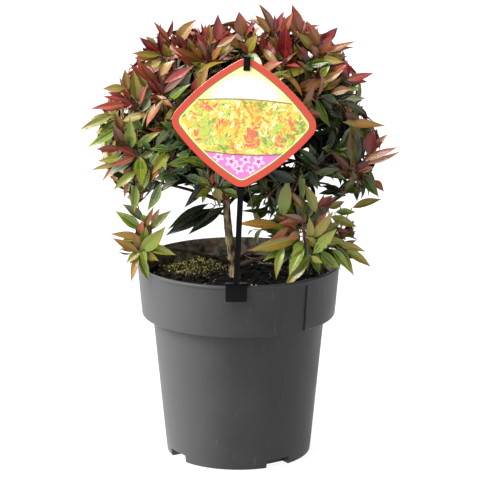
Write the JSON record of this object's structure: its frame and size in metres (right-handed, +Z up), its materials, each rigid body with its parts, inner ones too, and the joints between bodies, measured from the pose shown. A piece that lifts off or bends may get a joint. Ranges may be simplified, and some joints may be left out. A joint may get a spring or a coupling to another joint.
{
  "type": "potted lilly pilly",
  "caption": "Bushy young lilly pilly shrub with pointed glossy leaves in a round grey nursery pot, with a plain picture label on a clip-on stem.",
  "frame": {"origin": "middle of the pot's flat underside, on the ground", "axes": "+Z up the pot's axis; the side with the label faces -Y, and +X is to the right seen from there"},
  "size_m": [0.3055, 0.2668, 0.4433],
  "materials": {
    "pot_plastic": "matte dark grey polypropylene",
    "potting_mix": "damp bark and peat",
    "bark": "rough grey-brown bark",
    "foliage": "glossy leaves, green to crimson",
    "label_card": "semi-gloss printed card",
    "stem_plastic": "black moulded plastic"
  },
  "bodies": {
    "root": {"bough_foot_left": "bark", "bough_foot_right": "bark", "bough_foot_right_rim": "bark", "bough_high_left": "bark", "bough_high_left_back": "bark", "bough_high_left_front": "bark", "bough_high_right": "bark", "bough_high_right_back": "bark", "bough_high_right_front": "bark", "bough_low_front": "bark", "bough_low_left": "bark", "bough_low_left_back": "bark", "bough_low_right": "bark", "bough_low_right_back": "bark", "bough_low_right_front": "bark", "bough_mid_back": "bark", "bough_mid_front": "bark", "bough_mid_left": "bark", "bough_mid_left_back": "bark", "bough_mid_left_front": "bark", "bough_mid_right": "bark", "bough_mid_right_back": "bark", "bough_mid_right_front": "bark", "bough_top_left": "bark", "foot_left": "foliage", "foot_right": "foliage", "foot_right_rim": "foliage", "hanging_left": "foliage", "high_left": "foliage", "high_left_back": "foliage", "high_left_front": "foliage", "high_right": "foliage", "high_right_back": "foliage", "high_right_front": "foliage", "label": "label_card", "label_stem": "stem_plastic", "low_front": "foliage", "low_left": "foliage", "low_left_back": "foliage", "low_right": "foliage", "low_right_back": "foliage", "low_right_front": "foliage", "mid_back": "foliage", "mid_front": "foliage", "mid_left": "foliage", "mid_left_back": "foliage", "mid_left_front": "foliage", "mid_right": "foliage", "mid_right_back": "foliage", "mid_right_front": "foliage", "pot": "pot_plastic", "soil": "potting_mix", "top_left": "foliage", "top_right": "foliage", "trunk": "bark"}
  },
  "joints": []
}
